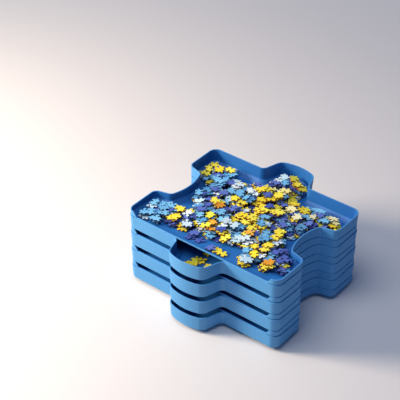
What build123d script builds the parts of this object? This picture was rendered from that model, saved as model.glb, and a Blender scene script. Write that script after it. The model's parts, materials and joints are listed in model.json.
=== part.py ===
from build123d import *
from collections import namedtuple
import math
import os
import random

# Body of one tray, measured round the seat: the level where it stands on the rim of the tray below
body_width = 259.6
body_depth = 198.6
corner_radius = 12.0

# Tab, like the knob of a jigsaw piece, on the tall side
tab_reach = 36.6
tab_root_width = 78.0
tab_end_width = 59.4
tab_shoulder_reach = 30.0
tab_root_radius = 9.0
tab_end_radius = 14.0

# Sockets, like the blanks of a jigsaw piece, at both ends of the body
socket_depth = 32.6
socket_mouth_width = 80.0
socket_floor_width = 67.0
socket_shoulder_depth = 25.0
socket_mouth_radius = 10.0
socket_floor_radius = 9.0

# Walls, measured from the seat: tall beside the tab and shallow on the pouring side, so the rim is tilted
tall_height = 20.7
shallow_height = 8.8
wall = 1.8
draft = 2.5
seat_round = 0.4
rim_round = 0.5

# Foot that nests in the tray below, with a 45 degree side all round
foot_depth = 6.0
foot_slope = 45.0
nest_clearance = 0.4
crease_height = 2.0

# Pouring side: the wall stops short of both corners and leaves a lip, as thick as the wall
pour_mouth_width = 226.0
pour_mouth_slope = 35.0

# Stack of trays, every other one turned half round
tray_count = 8
stack_gap = 0.1

# One loose jigsaw piece
piece_size = 10.0
piece_thickness = 1.9
knob_radius = 1.5
knob_reach = 2.5
neck_width = 1.8
knob_clearance = 0.2

# Where the loose pieces lie: a heap of two layers in the top tray, and a few sorted ones in those below
piece_spacing = 0.5
layer_clearance = 0.02
bare_strip = 24.0
heap_step = 10.0
heap_throws = 6000
sorted_throws = 60
tab_throws = 60
scatter_seed = 11

# Colours in the top tray, by share, and the two colours sorted into each tray below, from the bottom
top_colours = {"yellow": 30, "sky_blue": 20, "indigo": 25, "ice_white": 12, "cream": 8, "orange": 5}
sorted_colours = [
    ("sky_blue", "ice_white"),
    ("indigo", "sky_blue"),
    ("cream", "yellow"),
    ("ice_white", "cream"),
    ("orange", "indigo"),
    ("sky_blue", "indigo"),
    ("yellow", "orange"),
]

half_width = body_width / 2
half_depth = body_depth / 2
tray_reach = half_depth + tab_reach
socket_shoulder = half_width - socket_shoulder_depth
tab_shoulder = half_depth + tab_shoulder_reach
middle_height = (tall_height + shallow_height) / 2
rim_slope = (tall_height - shallow_height) / body_depth
tilt = math.atan(rim_slope)
foot_inset = wall + nest_clearance
crease_inset = wall - crease_height * math.tan(math.radians(draft))
crease_level = foot_depth + crease_height
floor_level = wall
floor_inset = crease_inset + (crease_level - floor_level) * math.tan(math.radians(foot_slope))
lip_level = foot_depth + wall
blank_height = tall_height + tab_reach * rim_slope + foot_depth
piece_reach = max(piece_size / 2 + knob_reach, piece_size / math.sqrt(2))
tab_end_rise = tab_reach - tab_shoulder_reach
tab_end_circle = ((tab_end_width / 2) ** 2 + tab_end_rise**2) / (2 * tab_end_rise)
tiny = 0.01


def corners_at(outline, x, y):
    # the corners of an outline at the place (x, y) and across the tray's centre line from it
    def is_there(corner):
        return abs(abs(corner.X) - x) < tiny and abs(corner.Y - y) < tiny

    return outline.vertices().filter_by(is_there)


# Outline of the tray at its seat: tab towards -Y, pouring side towards +Y, a socket at each end
with BuildSketch() as seat_outline:
    with BuildLine():
        far_side = Line((0, half_depth), (half_width, half_depth))
        far_end = Line(far_side @ 1, (half_width, socket_mouth_width / 2))
        socket_side = Line(far_end @ 1, (socket_shoulder, socket_floor_width / 2))
        socket_floor = ThreePointArc(
            socket_side @ 1,
            (half_width - socket_depth, 0),
            (socket_shoulder, -socket_floor_width / 2),
        )
        other_side = Line(socket_floor @ 1, (half_width, -socket_mouth_width / 2))
        near_end = Line(other_side @ 1, (half_width, -half_depth))
        near_side = Line(near_end @ 1, (tab_root_width / 2, -half_depth))
        tab_side = Line(near_side @ 1, (tab_end_width / 2, -tab_shoulder))
        RadiusArc(tab_side @ 1, (0, -tray_reach), tab_end_circle)
        mirror(about=Plane.YZ)
    make_face()
    for side in (-1, 1):
        fillet(corners_at(seat_outline, half_width, side * half_depth), corner_radius)
        fillet(corners_at(seat_outline, half_width, side * socket_mouth_width / 2), socket_mouth_radius)
        fillet(corners_at(seat_outline, socket_shoulder, side * socket_floor_width / 2), socket_floor_radius)
    fillet(corners_at(seat_outline, tab_root_width / 2, -half_depth), tab_root_radius)
    fillet(corners_at(seat_outline, tab_end_width / 2, -tab_shoulder), tab_end_radius)


def outline_at(level, inset):
    # the seat outline drawn in by inset, at a level above the underside
    with BuildSketch(Plane.XY.offset(level)) as drawn_in:
        add(seat_outline.sketch)
        offset(amount=-inset, mode=Mode.REPLACE)
    return drawn_in.sketch


# The tray in its own frame, on its level underside at z = 0
rim_plane = Plane(
    origin=(0, 0, foot_depth + middle_height),
    x_dir=(1, 0, 0),
    z_dir=(0, rim_slope, 1),
)
with BuildPart() as tray:
    # drafted outer wall, up to the tilted rim
    with BuildSketch(Plane.XY.offset(foot_depth)):
        add(seat_outline.sketch)
    extrude(amount=blank_height, taper=-draft)
    split(bisect_by=rim_plane, keep=Keep.BOTTOM)
    fillet(tray.faces().sort_by(Axis.Z)[0].edges(), seat_round)
    fillet(tray.faces().filter_by(Axis(rim_plane.origin, rim_plane.z_dir)).edges(), rim_round)
    # foot below the seat
    extrude(outline_at(foot_depth, foot_inset), amount=-foot_depth, taper=foot_slope)
    # inside: drafted wall above the crease, sloped side below it
    extrude(outline_at(crease_level, crease_inset), amount=blank_height, taper=-draft, mode=Mode.SUBTRACT)
    extrude(
        outline_at(crease_level, crease_inset),
        amount=floor_level - crease_level,
        taper=foot_slope,
        mode=Mode.SUBTRACT,
    )
    # pouring mouth, cut down to the lip
    with BuildSketch(Plane.XZ.offset(-tray_reach)):
        with BuildLine():
            mouth_top = blank_height - lip_level
            mouth_spread = mouth_top * math.tan(math.radians(pour_mouth_slope))
            Polyline(
                (-pour_mouth_width / 2, lip_level),
                (pour_mouth_width / 2, lip_level),
                (pour_mouth_width / 2 + mouth_spread, blank_height),
                (-pour_mouth_width / 2 - mouth_spread, blank_height),
                close=True,
            )
        make_face()
    extrude(amount=tray_reach - half_depth + floor_inset, mode=Mode.SUBTRACT)

# Where the trays stand: two trays, one turned half round on the other, make a level pair
turned_shift = -middle_height * math.sin(tilt) / 2
turned_rise = foot_depth + middle_height + stack_gap
pair_pitch = middle_height + stack_gap + middle_height * math.cos(tilt) + stack_gap

# The tabs' tips at the rim reach as far to both sides of the origin
tip_height = middle_height + rim_slope * tray_reach
tip_reach = tray_reach + tip_height * math.tan(math.radians(draft))
turned_tip_reach = turned_shift + tip_reach * math.cos(tilt) + tip_height * math.sin(tilt)
stack_shift = (tip_reach - turned_tip_reach) / 2


def tray_plane(number):
    # the plane that a tray's underside lies in, counted from the bottom of the stack
    pair, turned = divmod(number - 1, 2)
    if not turned:
        return Plane(origin=(0, stack_shift, pair * pair_pitch))
    upright = Vector(0, math.sin(tilt), math.cos(tilt))
    seat_centre = Vector(0, stack_shift + turned_shift, pair * pair_pitch + turned_rise)
    return Plane(origin=seat_centre - upright * foot_depth, x_dir=(-1, 0, 0), z_dir=upright)


def piece_outline(sides):
    # one jigsaw piece: for each of its four sides, 1 for a knob and -1 for a blank
    with BuildSketch() as outline:
        Rectangle(piece_size, piece_size)
        for turn, side in enumerate(sides):
            head_radius = knob_radius if side > 0 else knob_radius + knob_clearance
            head_middle = piece_size / 2 + side * (knob_reach - knob_radius)
            neck_side = neck_width if side > 0 else neck_width + 2 * knob_clearance
            neck_length = abs(head_middle - piece_size / 2) + piece_size / 4
            along = Location((0, 0, 0), (0, 0, 90 * turn))
            into = Mode.ADD if side > 0 else Mode.SUBTRACT
            with Locations(along * Location((head_middle, 0, 0))):
                Circle(head_radius, mode=into)
            with Locations(along * Location((head_middle - side * neck_length / 2, 0, 0))):
                Rectangle(neck_length, neck_side, mode=into)
    return outline.sketch


outlines = [
    piece_outline((1, -1, 1, -1)),
    piece_outline((1, 1, -1, -1)),
    piece_outline((1, 1, 1, -1)),
    piece_outline((1, -1, -1, -1)),
]


# A loose piece: the middle of it in the tray's frame, its layer, how far it is turned, its outline, and the
# number between 0 and 1 that chooses its colour
Place = namedtuple("Place", "x y layer turn kind pick")


def lies_on_floor(x, y, layer):
    # whether a piece fits over the flat floor with its middle at (x, y), however it is turned
    edge = floor_inset + piece_reach + layer * heap_step
    beside_socket = abs(y) < socket_mouth_width / 2 + edge and abs(x) > half_width - socket_depth - edge
    in_body = abs(x) < half_width - edge and -half_depth + edge < y < half_depth - edge - bare_strip
    in_tab = abs(x) < tab_end_width / 2 - edge and -tab_shoulder + edge < y < 0
    return (in_body and not beside_socket) or in_tab


def scatter(draw, throws, y_low, y_high, layer, lying):
    # throw pieces into the tray and keep those that lie clear of their own layer, on two of the layer below
    apart = 2 * piece_reach + piece_spacing
    for _ in range(throws):
        x = draw.uniform(-half_width, half_width)
        y = draw.uniform(y_low, y_high)
        thrown = Place(x, y, layer, draw.uniform(0, 360), draw.randrange(len(outlines)), draw.random())
        near = [place for place in lying if math.hypot(x - place.x, y - place.y) < apart]
        clear = all(place.layer < layer for place in near)
        under = [place for place in near if math.hypot(x - place.x, y - place.y) < piece_size]
        carried = layer == 0 or len(under) > 1
        if carried and clear and lies_on_floor(x, y, layer):
            lying.append(thrown)


def of_colour(lying, shares, colour):
    # the pieces whose number falls into a colour's own stretch of the shares
    colours = list(shares)
    before = sum(shares[other] for other in colours[: colours.index(colour)])
    low, high = before / sum(shares.values()), (before + shares[colour]) / sum(shares.values())
    return [place for place in lying if low <= place.pick < high]


def write_pieces(number, colour, own):
    # one colour's pieces in one tray
    with BuildPart() as pieces:
        for layer in sorted({place.layer for place in own}):
            rise = floor_level + layer_clearance + layer * (piece_thickness + layer_clearance)
            with BuildSketch(tray_plane(number).offset(rise)):
                for place in own:
                    if place.layer == layer:
                        with Locations(Location((place.x, place.y, 0), (0, 0, place.turn))):
                            add(outlines[place.kind])
            extrude(amount=piece_thickness)
    name = f"tray_{number}_{colour}_pieces"
    pieces.part.label = name
    export_step(pieces.part, f"parts/{name}.step")


os.makedirs("parts", exist_ok=True)
for number in range(1, tray_count + 1):
    with BuildPart(tray_plane(number)) as placed_tray:
        add(tray.part)
    placed_tray.part.label = f"tray_{number}"
    export_step(placed_tray.part, f"parts/tray_{number}.step")

    draw = random.Random(scatter_seed + number)
    lying = []
    scatter(draw, tab_throws, -tray_reach, -half_depth, 0, lying)
    if number == tray_count:
        shares = top_colours
        scatter(draw, heap_throws, -half_depth, half_depth, 0, lying)
        scatter(draw, heap_throws, -half_depth, half_depth, 1, lying)
    else:
        shares = dict.fromkeys(sorted_colours[(number - 1) % len(sorted_colours)], 1)
        scatter(draw, sorted_throws, -half_depth, half_depth, 0, lying)
    for colour in shares:
        own = of_colour(lying, shares, colour)
        write_pieces(number, colour, own)
        print(f"tray_{number}", colour, len(own))
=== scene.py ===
import bpy
import json
import math
import random
import numpy as np
from mathutils import Matrix, Vector

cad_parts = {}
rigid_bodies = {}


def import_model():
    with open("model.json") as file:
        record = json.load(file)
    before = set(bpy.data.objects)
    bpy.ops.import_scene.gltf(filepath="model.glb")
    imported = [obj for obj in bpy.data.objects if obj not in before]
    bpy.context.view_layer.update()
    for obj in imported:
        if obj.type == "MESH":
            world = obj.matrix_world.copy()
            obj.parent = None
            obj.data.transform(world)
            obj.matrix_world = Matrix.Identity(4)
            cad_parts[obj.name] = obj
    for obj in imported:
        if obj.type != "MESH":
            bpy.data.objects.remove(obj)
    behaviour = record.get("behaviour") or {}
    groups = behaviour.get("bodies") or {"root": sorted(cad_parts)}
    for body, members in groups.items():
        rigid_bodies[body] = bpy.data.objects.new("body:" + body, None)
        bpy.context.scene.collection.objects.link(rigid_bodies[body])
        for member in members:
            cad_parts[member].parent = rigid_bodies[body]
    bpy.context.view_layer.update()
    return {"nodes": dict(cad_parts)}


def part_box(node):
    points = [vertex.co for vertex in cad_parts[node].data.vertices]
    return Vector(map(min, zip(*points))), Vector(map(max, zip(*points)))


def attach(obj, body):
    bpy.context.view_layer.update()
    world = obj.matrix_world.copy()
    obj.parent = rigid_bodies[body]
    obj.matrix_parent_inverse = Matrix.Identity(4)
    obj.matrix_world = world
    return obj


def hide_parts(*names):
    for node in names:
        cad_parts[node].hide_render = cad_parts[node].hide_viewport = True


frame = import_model()
print("frame loaded:", len(frame["nodes"]), "nodes")

mm = 0.001
tiny = 1e-9      # keeps a run of no length from dividing by zero
trayCount = 8

# The moulding, measured round the seat where it stands on the rim below: in millimetres, with the draft,
# the mouth's slope and the arcs' steps in degrees
moulding = {
    "bodyWidth": 259.6, "bodyDepth": 198.6, "cornerRadius": 12.0,
    "tabReach": 36.6, "tabRootWidth": 78.0, "tabEndWidth": 59.4, "tabShoulderReach": 30.0,
    "tabRootRadius": 9.0, "tabEndRadius": 14.0,
    "socketDepth": 32.6, "socketMouthWidth": 80.0, "socketFloorWidth": 67.0, "socketShoulderDepth": 25.0,
    "socketMouthRadius": 10.0, "socketFloorRadius": 9.0,
    "tallHeight": 20.7, "shallowHeight": 8.8, "wall": 1.8, "draft": 2.5,
    "footDepth": 6.0, "nestClearance": 0.4, "creaseHeight": 2.0,
    "pourMouthWidth": 226.0, "pourMouthSlope": 35.0, "stackGap": 0.1,
    "shadowGap": 1.1, "gapDepth": 0.9,      # the dark line over the seat
    "lipBand": 0.3, "lipRise": 0.25, "lipSlope": 1.2,      # where the wall is only the mouth's lip
    "lipSeat": 2, "lipGapTop": 1.8,      # how far these two lie under the seat's level, in stack gaps
    "lipPoints": (0.0, 40.0, 80.0), "lipMargin": 3,      # places along the lip, from its middle and its end
    "footRound": 1.0, "seatRound": 0.3, "gapRound": 0.1, "edgeRound": 0.4, "rimRound": 0.5,
    "creaseRound": 1.2, "arcStep": 5.0, "roundSteps": 4, "roundShare": 0.45, "capInset": 1.0,
    "samePoint": 0.01,
}

halfWidth = moulding["bodyWidth"] / 2
halfDepth = moulding["bodyDepth"] / 2
trayReach = halfDepth + moulding["tabReach"]
footDepth = moulding["footDepth"]
middleHeight = (moulding["tallHeight"] + moulding["shallowHeight"]) / 2
rimSlope = (moulding["tallHeight"] - moulding["shallowHeight"]) / moulding["bodyDepth"]
tilt = math.atan(rimSlope)
draftSlope = math.tan(math.radians(moulding["draft"]))
footInset = moulding["wall"] + moulding["nestClearance"]
creaseInset = moulding["wall"] - moulding["creaseHeight"] * draftSlope
creaseLevel = footDepth + moulding["creaseHeight"]
floorLevel = moulding["wall"]
floorInset = creaseInset + creaseLevel - floorLevel
lipHeight = moulding["wall"]

# Where the trays stand, as in the frame: an odd tray level, the even one on it turned half round and tilted
turnedShift = -middleHeight * math.sin(tilt) / 2
turnedRise = footDepth + middleHeight + moulding["stackGap"]
pairPitch = (middleHeight + moulding["stackGap"]) + (middleHeight * math.cos(tilt) + moulding["stackGap"])


def trayMatrix(number):
    pair, turned = divmod(number - 1, 2)
    low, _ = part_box("tray_1")
    rimTip = (middleHeight + rimSlope * trayReach) * draftSlope
    shift = low.y / mm + trayReach + rimTip      # the frame's own place of the odd trays
    if not turned:
        return Matrix.Translation(Vector((0, shift, pair * pairPitch)) * mm)
    place = Matrix.Translation(Vector((0, shift + turnedShift, pair * pairPitch + turnedRise)) * mm)
    return place @ Matrix.Rotation(-tilt, 4, "X") @ Matrix.Rotation(math.pi, 4, "Z") @ Matrix.Translation(
        Vector((0, 0, -footDepth * mm)))


# Outline of a tray: straight sides and arcs that run into each other, as points with their outward normals

def unit(angle):
    return np.array([math.cos(angle), math.sin(angle)])


def arcPoints(centre, radius, start, end, outward):
    # outward is 1 where the plastic lies inside the arc and -1 where it lies outside
    steps = max(2, math.ceil(abs(end - start) / math.radians(moulding["arcStep"])))
    rays = [unit(start + (end - start) * i / steps) for i in range(steps + 1)]
    return [(np.array(centre) + radius * ray, outward * ray) for ray in rays]


def cornerFillet(corner, before, after, radius):
    # arc between two straight lines: the unit directions run into the corner and out of it
    before, after = np.array(before), np.array(after)
    turn = math.atan2(before[0] * after[1] - before[1] * after[0], float(before @ after))
    run = radius * math.tan(abs(turn) / 2)
    side = math.copysign(1, turn)
    inward = np.array([-before[1], before[0]]) * side
    centre = np.array(corner) - before * run + inward * radius
    start = math.atan2(*(-inward)[::-1])
    return arcPoints(centre, radius, start, start + turn, -side)


def circleFillet(onLine, along, side, circleCentre, circleRadius, radius):
    # centre of the arc that joins a straight line to a circle, from the inside of the circle
    normal = np.array([-along[1], along[0]]) * side
    base = np.array(onLine) + normal * radius - np.array(circleCentre)
    half = float(base @ along)
    reach = circleRadius - radius
    step = -half + math.sqrt(half * half - float(base @ base) + reach * reach)
    return np.array(onLine) + normal * radius + np.array(along) * step


def circleThrough(halfChord, rise):
    return (halfChord ** 2 + rise ** 2) / (2 * rise)


def halfOutline():
    # clockwise from the middle of the pouring side, round the end at +X, to the tip of the tab
    m = moulding
    points = []
    corner = m["cornerRadius"]
    mouthHalf, socketHalf = m["socketMouthWidth"] / 2, m["socketFloorWidth"] / 2
    shoulderX = halfWidth - m["socketShoulderDepth"]
    lipEnd = m["pourMouthWidth"] / 2
    for x in (*m["lipPoints"], lipEnd - m["lipMargin"], lipEnd):
        points.append((np.array([x, halfDepth]), np.array([0.0, 1.0])))
    points += arcPoints((halfWidth - corner, halfDepth - corner), corner, math.pi / 2, 0, 1)
    upper = []
    sideRun = np.array([shoulderX - halfWidth, socketHalf - mouthHalf])
    sideRun /= np.linalg.norm(sideRun)
    upper += cornerFillet((halfWidth, mouthHalf), (0, -1), sideRun, m["socketMouthRadius"])
    rise = m["socketDepth"] - m["socketShoulderDepth"]
    radius = circleThrough(socketHalf, rise)
    centre = np.array([halfWidth - m["socketDepth"] + radius, 0.0])
    small = m["socketFloorRadius"]
    filletCentre = circleFillet((halfWidth, mouthHalf), sideRun, 1, centre, radius, small)
    away = filletCentre - centre
    touch = math.atan2(away[1], away[0])
    fromLine = math.atan2(-sideRun[0], sideRun[1])
    upper += arcPoints(filletCentre, small, fromLine, touch, -1)
    upper += arcPoints(centre, radius, touch, math.pi, -1)
    points += upper
    flip = np.array([1.0, -1.0])
    points += [(p * flip, n * flip) for p, n in reversed(upper[:-1])]
    points += arcPoints((halfWidth - corner, corner - halfDepth), corner, 0, -math.pi / 2, 1)
    rootHalf, endHalf = m["tabRootWidth"] / 2, m["tabEndWidth"] / 2
    tabRun = np.array([endHalf - rootHalf, -m["tabShoulderReach"]])
    tabRun /= np.linalg.norm(tabRun)
    points += cornerFillet((rootHalf, -halfDepth), (-1, 0), tabRun, m["tabRootRadius"])
    rise = m["tabReach"] - m["tabShoulderReach"]
    radius = circleThrough(endHalf, rise)
    centre = np.array([0.0, radius - trayReach])
    small = m["tabEndRadius"]
    filletCentre = circleFillet((rootHalf, -halfDepth), tabRun, -1, centre, radius, small)
    away = filletCentre - centre
    touch = math.atan2(away[1], away[0])
    fromLine = math.atan2(-tabRun[0], tabRun[1]) + math.pi
    if fromLine > math.pi:
        fromLine -= 2 * math.pi
    points += arcPoints(filletCentre, small, fromLine, touch, 1)
    points += arcPoints(centre, radius, touch, -math.pi / 2, 1)
    return points


def trayOutline():
    # both halves as one loop, without the points that fall on each other
    right = halfOutline()
    left = [(p * [-1, 1], n * [-1, 1]) for p, n in reversed(right[1:-1])]
    kept = []
    for p, n in right + left:
        if not kept or np.linalg.norm(p - kept[-1][0]) > moulding["samePoint"]:
            kept.append((p, n))
    return kept


outline = trayOutline()


def wallHeight(p, n):
    # height of the wall above the seat: the tilted rim, or the cut-down mouth on the pouring side
    rim = (middleHeight - rimSlope * p[1]) / (1 + rimSlope * draftSlope * n[1])
    over = abs(p[0]) - moulding["pourMouthWidth"] / 2
    if p[1] < halfDepth - moulding["cornerRadius"]:
        return rim
    slope = math.tan(math.radians(moulding["pourMouthSlope"]))
    return min(rim, lipHeight + max(0.0, over) / slope)


def roundedPath(corners, radii):
    # a path of straight runs with each inner corner rounded, always with as many points
    steps, share = moulding["roundSteps"], moulding["roundShare"]
    path = [np.array(corners[0])]
    for i in range(1, len(corners) - 1):
        a, b, c = (np.array(corners[j]) for j in (i - 1, i, i + 1))
        before, after = np.linalg.norm(b - a), np.linalg.norm(c - b)
        start = b + (a - b) / max(before, tiny) * min(radii[i], share * before)
        end = b + (c - b) / max(after, tiny) * min(radii[i], share * after)
        for k in range(steps + 1):
            t = k / steps
            path.append(start * (1 - t) ** 2 + 2 * b * t * (1 - t) + end * t ** 2)
    path.append(np.array(corners[-1]))
    return path


def wallProfile(height, facing):
    # the section of a tray's side, as (inset, level), from under the foot, over the rim and down to the
    # floor; facing is how far the side faces away from the tab, and tilts the rim's edge
    m = moulding
    top = footDepth + height
    lean = height * draftSlope
    innerTop = (m["wall"] - lean, top + rimSlope * facing * m["wall"])
    crease = (creaseInset, creaseLevel)
    # the seat stands back from the wall, which leaves a dark line above the rim below
    seat, gapTop = footDepth, footDepth + m["shadowGap"]
    if height < m["creaseHeight"] + m["lipBand"]:
        # along the mouth the lip's top runs straight into the floor's slope, and the seat leaves no line
        seat, gapTop = footDepth - m["lipSeat"] * m["stackGap"], footDepth - m["lipGapTop"] * m["stackGap"]
        drop = creaseLevel - top
        innerTop = (creaseInset + max(drop, -m["lipRise"]), top)
        crease = (innerTop[0] + m["lipSlope"], top - m["lipSlope"])
    corners = [
        (footInset + footDepth + m["capInset"], 0), (footInset + footDepth, 0), (footInset, footDepth),
        (m["gapDepth"], seat), (m["gapDepth"], gapTop), (0, gapTop), (-lean, top), innerTop, crease,
        (floorInset, floorLevel), (floorInset + m["capInset"], floorLevel),
    ]
    gap, rim, bend = m["gapRound"], m["rimRound"], m["creaseRound"]
    rounds = [0, m["footRound"], m["seatRound"], gap, gap, m["edgeRound"], rim, rim, bend, bend, 0]
    return roundedPath(corners, rounds)


def trayMesh(name, place):
    # the section swept round the outline, closed by a cap under the foot and one on the floor
    steps = moulding["roundSteps"]
    verts, faces = [], []
    rings = [[(p - n * inset).tolist() + [level] for inset, level in wallProfile(wallHeight(p, n), n[1])]
             for p, n in outline]
    stations = len(rings[0])
    for ring in rings:
        verts += ring
    count = len(rings)
    for i in range(count):
        j = (i + 1) % count
        for k in range(stations - 1):
            faces.append((i * stations + k, i * stations + k + 1, j * stations + k + 1, j * stations + k))
    faces.append([i * stations for i in range(count)])
    faces.append([i * stations + stations - 1 for i in reversed(range(count))])
    mesh = bpy.data.meshes.new(name)
    mesh.from_pydata([place @ (Vector(v) * mm) for v in verts], [], faces)
    # where the outside's painted sheen goes: 1 on the outer wall and over the rim's top, whose pale line is
    # a painted highlight, fading round its inner edge to 0 on the inside
    rimCorner = 6      # the rim's outer one among the section's corners
    rimStation = rimCorner * (steps + 1)
    paintedSheenShares = [min(1.0, max(0.0, 1 - (k - rimStation) / steps)) for k in range(stations)]
    mesh.attributes.new("outsidePaintedSheen", "FLOAT", "POINT").data.foreach_set("value", paintedSheenShares * count)
    for face in mesh.polygons:
        face.use_smooth = True
    return mesh


def flattenShading(piece):
    # lets the flat walls keep their own shading beside the narrow rounded edges
    modifier = piece.modifiers.new("wallShading", "WEIGHTED_NORMAL")
    modifier.weight = 80
    evaluated = piece.evaluated_get(bpy.context.evaluated_depsgraph_get())
    mesh = bpy.data.meshes.new_from_object(evaluated)
    piece.modifiers.remove(modifier)
    return mesh


def newPiece(name, mesh, body, slot, *nodes):
    piece = bpy.data.objects.new(name, mesh)
    bpy.context.scene.collection.objects.link(piece)
    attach(piece, body)
    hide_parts(*nodes)
    return piece


# Materials

def colour(code):
    # sRGB hex to linear
    parts = [int(code[i:i + 2], 16) / 255 for i in (1, 3, 5)]
    return [p / 12.92 if p < 0.04045 else ((p + 0.055) / 1.055) ** 2.4 for p in parts] + [1]


def addNode(tree, kind, settings=None, **links):
    # a node with its settings; links name its input sockets, with a socket or a value for each
    node = tree.nodes.new(kind)
    for key, value in (settings or {}).items():
        setattr(node, key, value)
    for key, value in links.items():
        socket = node.inputs[int(key[1:])] if key[1:].isdigit() else node.inputs[key.replace("_", " ")]
        if isinstance(value, bpy.types.NodeSocket):
            tree.links.new(value, socket)
        else:
            socket.default_value = value
    return node


def newMaterial(name):
    material = bpy.data.materials.new(name)
    material.use_nodes = True
    tree = material.node_tree
    shader = tree.nodes["Principled BSDF"]
    return material, tree, shader


plasticFinish = {
    # the outside's pair of colours is painted paler than the plastic's own blue: painted sheen
    "inside": ("#0A62AA", "#126AB4"), "outsidePaintedSheen": ("#428EC6", "#4C98CE"),      # darkest and lightest
    "flowScale": 14.0,      # flow marks about 70 mm apart
    "insideRoughness": 0.6, "outsideRoughness": 0.58, "ior": 1.49, "specularLevel": 0.6,
}


def mouldedPolypropylene():
    # polypropylene, injection moulded, with a soft satin shine: the inside is deep blue, and the
    # outside is painted paler, a painted sheen that stands for the bright surroundings reflected in its
    # walls
    p = plasticFinish
    material, tree, shader = newMaterial("mouldedPolypropylene")
    place = addNode(tree, "ShaderNodeTexCoord")
    flow = addNode(tree, "ShaderNodeTexNoise", Vector=place.outputs["Object"], Scale=p["flowScale"],
                   Detail=2.0)
    side = addNode(tree, "ShaderNodeAttribute", {"attribute_name": "outsidePaintedSheen"})
    inner = addNode(tree, "ShaderNodeMix", {"data_type": "RGBA"}, Factor=flow.outputs["Fac"],
                    i6=colour(p["inside"][0]), i7=colour(p["inside"][1]))
    # the outer walls' colour, painted paler: painted sheen
    outerPaintedSheen = addNode(tree, "ShaderNodeMix", {"data_type": "RGBA"}, Factor=flow.outputs["Fac"],
                    i6=colour(p["outsidePaintedSheen"][0]), i7=colour(p["outsidePaintedSheen"][1]))
    tint = addNode(tree, "ShaderNodeMix", {"data_type": "RGBA"}, Factor=side.outputs["Fac"],
                   i6=inner.outputs[2], i7=outerPaintedSheen.outputs[2])
    tree.links.new(tint.outputs[2], shader.inputs["Base Color"])
    rough = addNode(tree, "ShaderNodeMapRange", Value=side.outputs["Fac"], To_Min=p["insideRoughness"],
                    To_Max=p["outsideRoughness"])
    tree.links.new(rough.outputs[0], shader.inputs["Roughness"])
    shader.inputs["IOR"].default_value = p["ior"]
    shader.inputs["Specular IOR Level"].default_value = p["specularLevel"]
    return material


boardFinish = {
    "inkScale": 120.0,      # the print changes tone every 8 mm or so
    "noiseLow": 0.3, "noiseHigh": 0.7, "inkSpread": 0.25,
    "cutRoughness": 0.9, "printRoughness": 0.6,
}


def printedBoard(name, low, high, edgeAndShade):
    # puzzle board, printed, varnished and die cut: satin colour on top, and dull fibre at the cut edges,
    # whose colour is a darker shade of the print: partly the edge's own colour, partly painted shade
    b = boardFinish
    material, tree, shader = newMaterial(name)
    place = addNode(tree, "ShaderNodeTexCoord")
    tone = addNode(tree, "ShaderNodeAttribute", {"attribute_name": "tone"})
    printed = addNode(tree, "ShaderNodeAttribute", {"attribute_name": "printed"})
    flecks = addNode(tree, "ShaderNodeTexNoise", Vector=place.outputs["Object"], Scale=b["inkScale"],
                     Detail=3.0)
    spread = addNode(tree, "ShaderNodeMapRange", Value=flecks.outputs["Fac"], From_Min=b["noiseLow"],
                     From_Max=b["noiseHigh"], To_Min=-b["inkSpread"], To_Max=b["inkSpread"])
    share = addNode(tree, "ShaderNodeMath", {"operation": "ADD", "use_clamp": True}, i0=tone.outputs["Fac"],
                    i1=spread.outputs[0])
    ink = addNode(tree, "ShaderNodeMix", {"data_type": "RGBA"}, Factor=share.outputs[0], i6=colour(low),
                  i7=colour(high))
    # the cut edges take a darker shade of the print: painted shade on the pieces' sides
    skin = addNode(tree, "ShaderNodeMix", {"data_type": "RGBA"}, Factor=printed.outputs["Fac"],
                   i6=colour(edgeAndShade), i7=ink.outputs[2])
    rough = addNode(tree, "ShaderNodeMapRange", Value=printed.outputs["Fac"], To_Min=b["cutRoughness"],
                    To_Max=b["printRoughness"])
    tree.links.new(skin.outputs[2], shader.inputs["Base Color"])
    tree.links.new(rough.outputs[0], shader.inputs["Roughness"])
    return material


plastic = mouldedPolypropylene()
for number in range(1, trayCount + 1):
    blank = bpy.data.objects.new("trayBlank", trayMesh(f"sortingTray{number}", trayMatrix(number)))
    bpy.context.scene.collection.objects.link(blank)
    mesh = flattenShading(blank)
    bpy.data.objects.remove(blank)
    mesh.materials.clear()
    mesh.materials.append(plastic)
    newPiece(f"sortingTray{number}", mesh, f"tray_{number}_body", "blue_plastic", f"tray_{number}")
print("trays made:", len(outline), "points round the outline")

# Loose jigsaw pieces: die cut in a few kinds of shape

jigsaw = {
    "body": 10.9, "thickness": 1.8,      # mm; the lengths below are shares of the body's side
    "headRadius": 0.14, "headMiddle": 0.17, "headVaries": (0.92, 1.08),
    "headOpen": 42, "headSteps": 6,      # degrees left open for the neck, either side of straight down
    "bow": 0.01, "bowVaries": (-1.0, 1.6), "wander": 0.07,
    "firstBow": 0.45, "lastBow": 0.05,      # where the shoulders bow
    "seed": 5,
}


def sideCurve(draw, knob):
    # one side of a piece in shares of its length: a bowed shoulder, a round head on a neck, and the other
    # shoulder; knob is 1 for a head that stands out and -1 for the notch that takes one
    j = jigsaw
    middle = 0.5 + draw.uniform(-j["wander"], j["wander"])
    radius = j["headRadius"] * draw.uniform(*j["headVaries"])
    start, end = 270 - j["headOpen"], j["headOpen"] - 90
    turns = [math.radians(start + (end - start) * i / j["headSteps"]) for i in range(j["headSteps"] + 1)]
    head = [(middle + radius * math.cos(t), j["headMiddle"] + radius * math.sin(t)) for t in turns]
    bow = j["bow"] * draw.uniform(*j["bowVaries"])
    first, last = (middle * j["firstBow"], -bow), ((1 + middle) / 2 + j["lastBow"], -bow)
    return [(0, 0), first] + [(x, knob * y) for x, y in head] + [last]


def pieceCurve(draw, sides):
    # the four sides as one loop round the piece's middle, in mm
    points = []
    for turn, knob in enumerate(sides):
        spin = Matrix.Rotation(-math.pi / 2 * turn, 2)
        for along, out in sideCurve(draw, knob):
            points.append(spin @ Vector((along - 0.5, 0.5 + out)) * jigsaw["body"])
    return points


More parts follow.
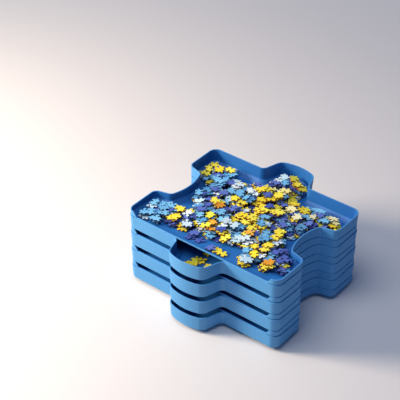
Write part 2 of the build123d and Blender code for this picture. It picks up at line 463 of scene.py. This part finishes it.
def pieceMesh(name, curve):
    # the piece lies on its back at z = 0, and its printed face is marked for the materials
    count = len(curve)
    verts = [(p.x * mm, p.y * mm, z * mm) for z in (0, jigsaw["thickness"]) for p in curve]
    sides = [(i, count + i, count + (i + 1) % count, (i + 1) % count) for i in range(count)]
    faces = sides + [tuple(range(count)), tuple(reversed(range(count, 2 * count)))]
    mesh = bpy.data.meshes.new(name)
    mesh.from_pydata(verts, [], faces)
    printed = mesh.attributes.new("printed", "FLOAT", "FACE")
    printed.data[len(faces) - 1].value = 1.0
    return mesh


# The heaps: pieces dropped one after another, each to rest on three points round its middle

heap = {
    "cell": 0.6, "leastCells": 100,      # mm, and how many of these cells a piece has to cover
    "tries": 8, "tiltCost": 5.0, "steepest": 15.0,      # the steepest in degrees
    "firstAngles": (1.57, 3.67, 5.76), "swaps": 60, "touching": 0.01,      # the search for points of rest
    "leastTriangle": 0.5, "slack": 1e-6,
    "fullTurn": 6.283, "margin": 1.02,      # radians, and the room that a piece takes over its own size
    "wallClear": 0.6, "rimClear": 1, "lowRimClear": 2, "tabStart": 1, "underStack": 0.4,      # mm
    "blocked": 300.0,      # the height that marks a cell with no room
    "clump": 15.0, "clumpShare": 0.35,      # how far and how often a piece takes a neighbour's colour
    "seed": 40,
}
mixed = {"yellow": 30, "sky_blue": 24, "indigo": 28, "ice_white": 13, "cream": 4, "orange": 1}
# in the tray's own frame, tab towards -Y: middle and reach in mm, how many pieces, and how often each
# colour comes, or None for the colours that the frame gives the tray
topLobes = [
    ((0, -8), (82, 74), 400, mixed),
    ((92, -60), (30, 28), 50, {"yellow": 9, "sky_blue": 9, "indigo": 6, "ice_white": 6, "orange": 1}),
    ((-4, -98), (27, 27), 46, {"yellow": 9, "indigo": 10, "ice_white": 4, "sky_blue": 2, "cream": 2}),
    ((-75, -62), (42, 25), 48, {"sky_blue": 8, "indigo": 10, "yellow": 8, "cream": 2}),
    ((-90, 50), (27, 29), 52, {"yellow": 11, "indigo": 13, "sky_blue": 7, "ice_white": 4, "orange": 1}),
    ((-66, 64), (19, 20), 24, {"sky_blue": 12, "ice_white": 5, "yellow": 4}),
    ((64, 52), (25, 26), 42, {"yellow": 12, "cream": 3, "indigo": 8, "sky_blue": 3, "ice_white": 2}),
    ((101, 64), (20, 30), 28, {"sky_blue": 16, "ice_white": 4, "indigo": 1}),
    ((32, -42), (20, 13), 12, {"sky_blue": 5, "ice_white": 6}),
    ((3, -55), (21, 15), 16, {"yellow": 9, "indigo": 1}),
    ((-26, -32), (16, 11), 10, {"yellow": 6, "indigo": 2}),
    ((-24, 8), (14, 11), 8, {"yellow": 5, "sky_blue": 2}),
    ((27, 78), (11, 7), 4, {"indigo": 4, "yellow": 1}),
    ((-17, 84), (9, 3), 3, {"yellow": 3, "indigo": 1}),
]
pocketLobes = [((0, -108), (27, 21), 9, {"yellow": 10, "orange": 1}), ((0, -12), (104, 66), 46, None)]
lowerLobes = [((0, -8), (104, 62), 52, None)]


def insetGrid():
    # how far inside the seat outline each cell of a grid lies, in mm
    xs = np.arange(-halfWidth, halfWidth, heap["cell"])
    ys = np.arange(-trayReach, halfDepth, heap["cell"])
    gridX, gridY = np.meshgrid(xs, ys)
    nearest = np.full(gridX.shape, np.inf)
    inset = np.zeros(gridX.shape)
    for (p, n), (q, _) in zip(outline, outline[1:] + outline[:1]):
        run = q - p
        share = np.clip(((gridX - p[0]) * run[0] + (gridY - p[1]) * run[1]) / float(run @ run), 0, 1)
        offX, offY = gridX - p[0] - share * run[0], gridY - p[1] - share * run[1]
        distance = offX ** 2 + offY ** 2
        closer = distance < nearest
        nearest[closer] = distance[closer]
        normal = np.array([-run[1], run[0]]) / np.linalg.norm(run)
        inset[closer] = -np.sign(offX * normal[0] + offY * normal[1])[closer] * np.sqrt(distance[closer])
    return xs, ys, inset


def insidePolygon(px, py, curve):
    # whether each point lies inside a closed curve
    inside = np.zeros(px.shape, bool)
    for (ax, ay), (bx, by) in zip(curve, np.roll(curve, -1, axis=0)):
        if ay != by:
            inside ^= ((ay > py) != (by > py)) & (px < (bx - ax) * (py - ay) / (by - ay) + ax)
    return inside


def holdsMiddle(x, y):
    # whether a triangle goes round the piece's middle and isn't too thin
    turns = x * np.roll(y, -1) - np.roll(x, -1) * y
    slack = heap["slack"]
    return abs(turns.sum()) > heap["leastTriangle"] and (turns.min() > -slack or turns.max() < slack)


def restingPlane(x, y, height):
    # the plane that lies over all the heights and touches three of them round the middle: slopes and level
    corners = [int(np.argmax(x * math.cos(a) + y * math.sin(a))) for a in heap["firstAngles"]]
    if not holdsMiddle(x[corners], y[corners]):
        return None
    for _ in range(heap["swaps"]):
        plane = np.linalg.solve(np.column_stack((x[corners], y[corners], np.ones(3))), height[corners])
        over = height - plane[0] * x - plane[1] * y - plane[2]
        highest = int(np.argmax(over))
        if over[highest] < heap["touching"]:
            return plane
        swaps = [corners[:k] + [highest] + corners[k + 1:] for k in range(3)]
        swaps = [swap for swap in swaps if holdsMiddle(x[swap], y[swap])]
        if not swaps:
            return None
        corners = swaps[0]
    return None


class Heap:
    # the heights in one tray as its pieces pile up
    def __init__(self, ground, ceiling, xs, ys):
        self.ground, self.ceiling, self.xs, self.ys = ground.copy(), ceiling, xs, ys

    def settle(self, curve, x, y, turn):
        # where a piece comes to rest: its cells, the plane under it and the heights over it, or nothing
        c, s = math.cos(turn), math.sin(turn)
        turned = curve @ np.array([[c, s], [-s, c]]) * heap["margin"]
        reach = np.abs(turned).max() + heap["cell"]
        cols = np.flatnonzero(abs(self.xs - x) < reach)
        rows = np.flatnonzero(abs(self.ys - y) < reach)
        gridX, gridY = np.meshgrid(self.xs[cols] - x, self.ys[rows] - y)
        inside = insidePolygon(gridX, gridY, turned)
        if inside.sum() < heap["leastCells"]:
            return None
        cells = np.ix_(rows, cols)
        under = self.ground[cells][inside]
        if under.max() >= heap["blocked"]:
            return None
        plane = restingPlane(gridX[inside], gridY[inside], under)
        if plane is None or math.hypot(plane[0], plane[1]) > math.tan(math.radians(heap["steepest"])):
            return None
        lean = math.sqrt(1 + plane[0] ** 2 + plane[1] ** 2)
        top = plane[0] * gridX + plane[1] * gridY + plane[2] + jigsaw["thickness"] * lean
        if (top > self.ceiling[cells])[inside].any():
            return None
        return cells, inside, plane, top

    def lay(self, cells, inside, top):
        # the piece's own top is the ground for the next ones
        block = self.ground[cells]
        block[inside] = top[inside]
        self.ground[cells] = block


def pickColour(draw, colours):
    return draw.choices(list(colours), weights=list(colours.values()))[0]


def fillTray(number, lobes, here, curves, grid):
    # drops the pieces of one tray; for each colour, a list of places in the tray's own frame
    xs, ys, ground, ceiling = grid
    draw = random.Random(heap["seed"] + number)
    pile = Heap(ground, ceiling, xs, ys)
    lying = {}
    clumps = []
    for (cx, cy), (rx, ry), count, colours in lobes:
        colours = colours or here
        for _ in range(count):
            kind, best = draw.randrange(len(curves)), None
            for _ in range(heap["tries"]):
                reach, angle = math.sqrt(draw.random()), draw.uniform(0, heap["fullTurn"])
                turn = draw.uniform(0, heap["fullTurn"])
                x, y = cx + rx * reach * math.cos(angle), cy + ry * reach * math.sin(angle)
                rest = pile.settle(curves[kind], x, y, turn)
                if rest is None:
                    continue
                cost = rest[2][2] + heap["tiltCost"] * math.hypot(rest[2][0], rest[2][1])
                if best is None or cost < best[0]:
                    best = (cost, rest, x, y, turn)
            if best is None:
                continue
            _, (cells, inside, plane, top), x, y, turn = best
            pile.lay(cells, inside, top)
            own = [c for px, py, c in clumps if math.hypot(px - x, py - y) < heap["clump"] and c in colours]
            name = own[-1] if own and draw.random() < heap["clumpShare"] else pickColour(draw, colours)
            clumps.append((x, y, name))
            lying.setdefault(name, []).append((Vector((x, y, plane[2])), plane, turn, kind, draw.random()))
    return lying


def looseTree():
    # instances of the kinds of piece on points, each turned its own way
    tree = bpy.data.node_groups.new("looseJigsawPieces", "GeometryNodeTree")
    inputs = {"Places": "Geometry", "Kinds": "Collection", "Board": "Material", "Size": "Float"}
    for name, kind in inputs.items():
        tree.interface.new_socket(name, in_out="INPUT", socket_type=f"NodeSocket{kind}")
    tree.interface.new_socket("Pieces", in_out="OUTPUT", socket_type="NodeSocketGeometry")
    start = addNode(tree, "NodeGroupInput")
    kinds = addNode(tree, "GeometryNodeCollectionInfo", Collection=start.outputs["Kinds"],
                    Separate_Children=True, Reset_Children=True)
    kind = addNode(tree, "GeometryNodeInputNamedAttribute", {"data_type": "INT"}, Name="kind")
    turn = addNode(tree, "GeometryNodeInputNamedAttribute", {"data_type": "FLOAT_VECTOR"}, Name="turn")
    rotation = addNode(tree, "FunctionNodeEulerToRotation", Euler=turn.outputs["Attribute"])
    placed = addNode(tree, "GeometryNodeInstanceOnPoints", Points=start.outputs["Places"],
                     Instance=kinds.outputs["Instances"], Pick_Instance=True,
                     Instance_Index=kind.outputs["Attribute"], Rotation=rotation.outputs["Rotation"],
                     Scale=start.outputs["Size"])
    solid = addNode(tree, "GeometryNodeRealizeInstances", Geometry=placed.outputs["Instances"])
    coloured = addNode(tree, "GeometryNodeSetMaterial", Geometry=solid.outputs["Geometry"],
                       Material=start.outputs["Board"])
    addNode(tree, "NodeGroupOutput", Pieces=coloured.outputs["Geometry"])
    return tree


def piecesMesh(tree, kinds, board, name, tray, places):
    # one colour's pieces in one tray, as a plain mesh
    points = bpy.data.meshes.new("places")
    points.from_pydata([tray @ (place[0] * mm) for place in places], [], [])
    turns, shapes, tones = [], [], []
    for _, plane, turn, kind, tone in places:
        upright = Vector((0, 0, 1)).rotation_difference(Vector((-plane[0], -plane[1], 1))).to_matrix()
        turns += (tray.to_3x3() @ upright @ Matrix.Rotation(turn, 3, "Z")).to_euler()
        shapes.append(kind)
        tones.append(tone)
    points.attributes.new("turn", "FLOAT_VECTOR", "POINT").data.foreach_set("vector", turns)
    points.attributes.new("kind", "INT", "POINT").data.foreach_set("value", shapes)
    points.attributes.new("tone", "FLOAT", "POINT").data.foreach_set("value", tones)
    carrier = bpy.data.objects.new("carrier", points)
    bpy.context.scene.collection.objects.link(carrier)
    modifier = carrier.modifiers.new("loosePieces", "NODES")
    modifier.node_group = tree
    values = {"Kinds": kinds, "Board": board, "Size": 1.0}
    for item in tree.interface.items_tree:
        if item.name in values:
            modifier[item.identifier] = values[item.name]
    evaluated = carrier.evaluated_get(bpy.context.evaluated_depsgraph_get())
    mesh = bpy.data.meshes.new_from_object(evaluated)
    mesh.name = name
    bpy.data.objects.remove(carrier)
    return mesh


# darkest and lightest print, and the cut edge, a darker shade of the print that is partly painted shade
boards = {
    "yellow": printedBoard("yellowBoard", "#F9E026", "#FEF250", "#A8741C"),
    "sky_blue": printedBoard("skyBlueBoard", "#5AA8DA", "#86CBEC", "#4A6E8C"),
    "indigo": printedBoard("indigoBoard", "#3C54A8", "#5C74C0", "#383E66"),
    "ice_white": printedBoard("iceWhiteBoard", "#C8ECF4", "#F2FCFC", "#8C9AA4"),
    "cream": printedBoard("creamBoard", "#F7EA84", "#FCF8C8", "#A8904C"),
    "orange": printedBoard("orangeBoard", "#E8981C", "#F9BC3C", "#8C5018"),
}


def makeHeaps():
    # the kinds of piece, then each tray's heap, as one mesh for each of its colours
    draw = random.Random(jigsaw["seed"])
    # two heads opposite each other, two side by side, three of them, or one
    sides = [(1, -1, 1, -1)] * 3 + [(1, 1, -1, -1)] * 2 + [(1, 1, 1, -1)] * 2 + [(1, -1, -1, -1)]
    curves = [pieceCurve(draw, side) for side in sides]
    kinds = bpy.data.collections.new("kindsOfPiece")
    for i, curve in enumerate(curves):
        kinds.objects.link(bpy.data.objects.new(f"kind{i}", pieceMesh(f"kind{i}", curve)))
    flat = [np.array([tuple(p) for p in curve]) for curve in curves]

    # the floor with its sloped foot, and over it the open rim or, in the lower trays, the next one's foot
    xs, ys, inset = insetGrid()
    ground = np.maximum(floorLevel, creaseLevel - (inset - creaseInset))
    ground[inset < creaseInset + heap["wallClear"]] = heap["blocked"]
    rim = np.broadcast_to(footDepth + middleHeight - rimSlope * ys[:, None], inset.shape)
    underFoot = rim - footDepth + moulding["stackGap"] - heap["underStack"]
    inBody = ys[:, None] > -halfDepth + heap["tabStart"]
    lowCeiling = np.where(inBody, underFoot, rim - heap["lowRimClear"])
    tree = looseTree()
    total = 0
    for number in range(1, trayCount + 1):
        here = {name: 1 for name in boards if f"tray_{number}_{name}_pieces" in frame["nodes"]}
        lobes = {trayCount: topLobes, trayCount - 1: pocketLobes}.get(number, lowerLobes)
        ceiling = rim - heap["rimClear"] if number == trayCount else lowCeiling
        lying = fillTray(number, lobes, here, flat, (xs, ys, ground, ceiling))
        for name, places in lying.items():
            pieceName = f"loose{name.title().replace('_', '')}Pieces{number}"
            mesh = piecesMesh(tree, kinds, boards[name], pieceName, trayMatrix(number), places)
            newPiece(pieceName, mesh, f"tray_{number}_body", f"{name}_card", f"tray_{number}_{name}_pieces")
            total += len(places)
    for kind in list(kinds.objects):
        bpy.data.objects.remove(kind)
    bpy.data.collections.remove(kinds)
    print("loose pieces laid:", total)


makeHeaps()


# Stage, lights and camera, in metres

stage = {
    "floorSize": 8.0, "floorColour": "#E0DCD6", "floorRoughness": 0.8,
    "fadeStart": 0.6, "fadeEnd": 1.9,      # how far from the stack the floor fades into the backdrop
    "backdropColour": "#C6CCD4", "backdropStrength": 1.0,
    "fillColour": "#7CA8FF", "fillStrength": 0.22,
}


def seenRays(tree):
    # 1 for the rays that show a background: the camera's own, and those that gloss and glass send on
    ray = addNode(tree, "ShaderNodeLightPath")
    shown = addNode(tree, "ShaderNodeMath", {"operation": "MAXIMUM"}, i0=ray.outputs["Is Camera Ray"],
                    i1=ray.outputs["Is Glossy Ray"])
    seen = addNode(tree, "ShaderNodeMath", {"operation": "MAXIMUM"}, i0=shown.outputs[0],
                   i1=ray.outputs["Is Transmission Ray"])
    return seen.outputs[0]


def makeStage():
    half = stage["floorSize"] / 2
    mesh = bpy.data.meshes.new("floor")
    corners = [(-half, -half, 0), (half, -half, 0), (half, half, 0), (-half, half, 0)]
    mesh.from_pydata(corners, [], [(0, 1, 2, 3)])
    floor = bpy.data.objects.new("floor", mesh)
    bpy.context.scene.collection.objects.link(floor)
    # a sheet of pale matt paper, which fades into the backdrop far from the stack
    material, tree, shader = newMaterial("paperSweep")
    shader.inputs["Base Color"].default_value = colour(stage["floorColour"])
    shader.inputs["Roughness"].default_value = stage["floorRoughness"]
    place = addNode(tree, "ShaderNodeTexCoord")
    reach = addNode(tree, "ShaderNodeVectorMath", {"operation": "LENGTH"}, i0=place.outputs["Object"])
    far = addNode(tree, "ShaderNodeMapRange", {"interpolation_type": "SMOOTHSTEP"},
                  Value=reach.outputs["Value"], From_Min=stage["fadeStart"], From_Max=stage["fadeEnd"])
    share = addNode(tree, "ShaderNodeMath", {"operation": "MULTIPLY"}, i0=far.outputs[0], i1=seenRays(tree))
    glow = addNode(tree, "ShaderNodeEmission", Color=colour(stage["backdropColour"]),
                   Strength=stage["backdropStrength"])
    both = addNode(tree, "ShaderNodeMixShader", i0=share.outputs[0], i1=shader.outputs[0],
                   i2=glow.outputs[0])
    tree.links.new(both.outputs[0], tree.nodes["Material Output"].inputs["Surface"])
    mesh.materials.append(material)


lamps = {
    "keyLight": {"size": 0.5, "power": 31, "tint": "#FFEEDA", "place": (-1.02, -0.74, 0.66)},
    "topLight": {"size": 1.4, "power": 18, "tint": "#F0F5FF", "place": (-0.2, -0.5, 1.9)},
}
lampTarget = (0, 0, 0.06)


def softLight(name, size, power, tint, place):
    # a round area lamp, turned towards the middle of the stack
    data = bpy.data.lights.new(name, "AREA")
    data.shape, data.size, data.energy, data.color = "DISK", size, power, colour(tint)[:3]
    lamp = bpy.data.objects.new(name, data)
    bpy.context.scene.collection.objects.link(lamp)
    lamp.location = place
    lamp.rotation_mode = "QUATERNION"
    lamp.rotation_quaternion = (Vector(lampTarget) - Vector(place)).to_track_quat("-Z", "Y")


makeStage()
for name, lamp in lamps.items():
    softLight(name, **lamp)


def makeWorld():
    # cool fill light from all round; the camera, gloss and glass see a pale backdrop past the floor's edge
    world = bpy.data.worlds.new("studio")
    bpy.context.scene.world = world
    world.use_nodes = True
    tree = world.node_tree
    fill = tree.nodes["Background"]
    fill.inputs["Color"].default_value = colour(stage["fillColour"])
    fill.inputs["Strength"].default_value = stage["fillStrength"]
    backdrop = addNode(tree, "ShaderNodeBackground", Color=colour(stage["backdropColour"]),
                       Strength=stage["backdropStrength"])
    both = addNode(tree, "ShaderNodeMixShader", i0=seenRays(tree), i1=fill.outputs[0],
                   i2=backdrop.outputs[0])
    tree.links.new(both.outputs[0], tree.nodes["World Output"].inputs["Surface"])


makeWorld()

# the photograph's viewing angle and framing, in millimetres and degrees
viewpoint = {
    "lens": 111.88, "sensor": 36.0, "azimuth": 38.466, "elevation": 35.857, "distance": 1806.9,
    "aside": 61.72, "below": 110.36,      # how far the picture's middle lies from the stack's
    "nearest": 0.05, "farthest": 20,      # what the camera sees, in metres
}


def makeCamera():
    v = viewpoint
    a, e = math.radians(v["azimuth"]), math.radians(v["elevation"])
    back = Vector((math.sin(a) * math.cos(e), -math.cos(a) * math.cos(e), math.sin(e)))
    right = Vector((math.cos(a), math.sin(a), 0))
    up = back.cross(right)
    data = bpy.data.cameras.new("camera")
    data.lens, data.sensor_width = v["lens"], v["sensor"]
    data.clip_start, data.clip_end = v["nearest"], v["farthest"]
    camera = bpy.data.objects.new("camera", data)
    bpy.context.scene.collection.objects.link(camera)
    place = back * v["distance"] - right * v["aside"] + up * v["below"] + Vector((0, 0, footDepth))
    turn = Matrix((right, up, back)).transposed().to_4x4()
    camera.matrix_world = Matrix.Translation(place * mm) @ turn
    bpy.context.scene.camera = camera


makeCamera()
bpy.context.scene.view_settings.view_transform = "Standard"
print("stage, lamps and camera set")
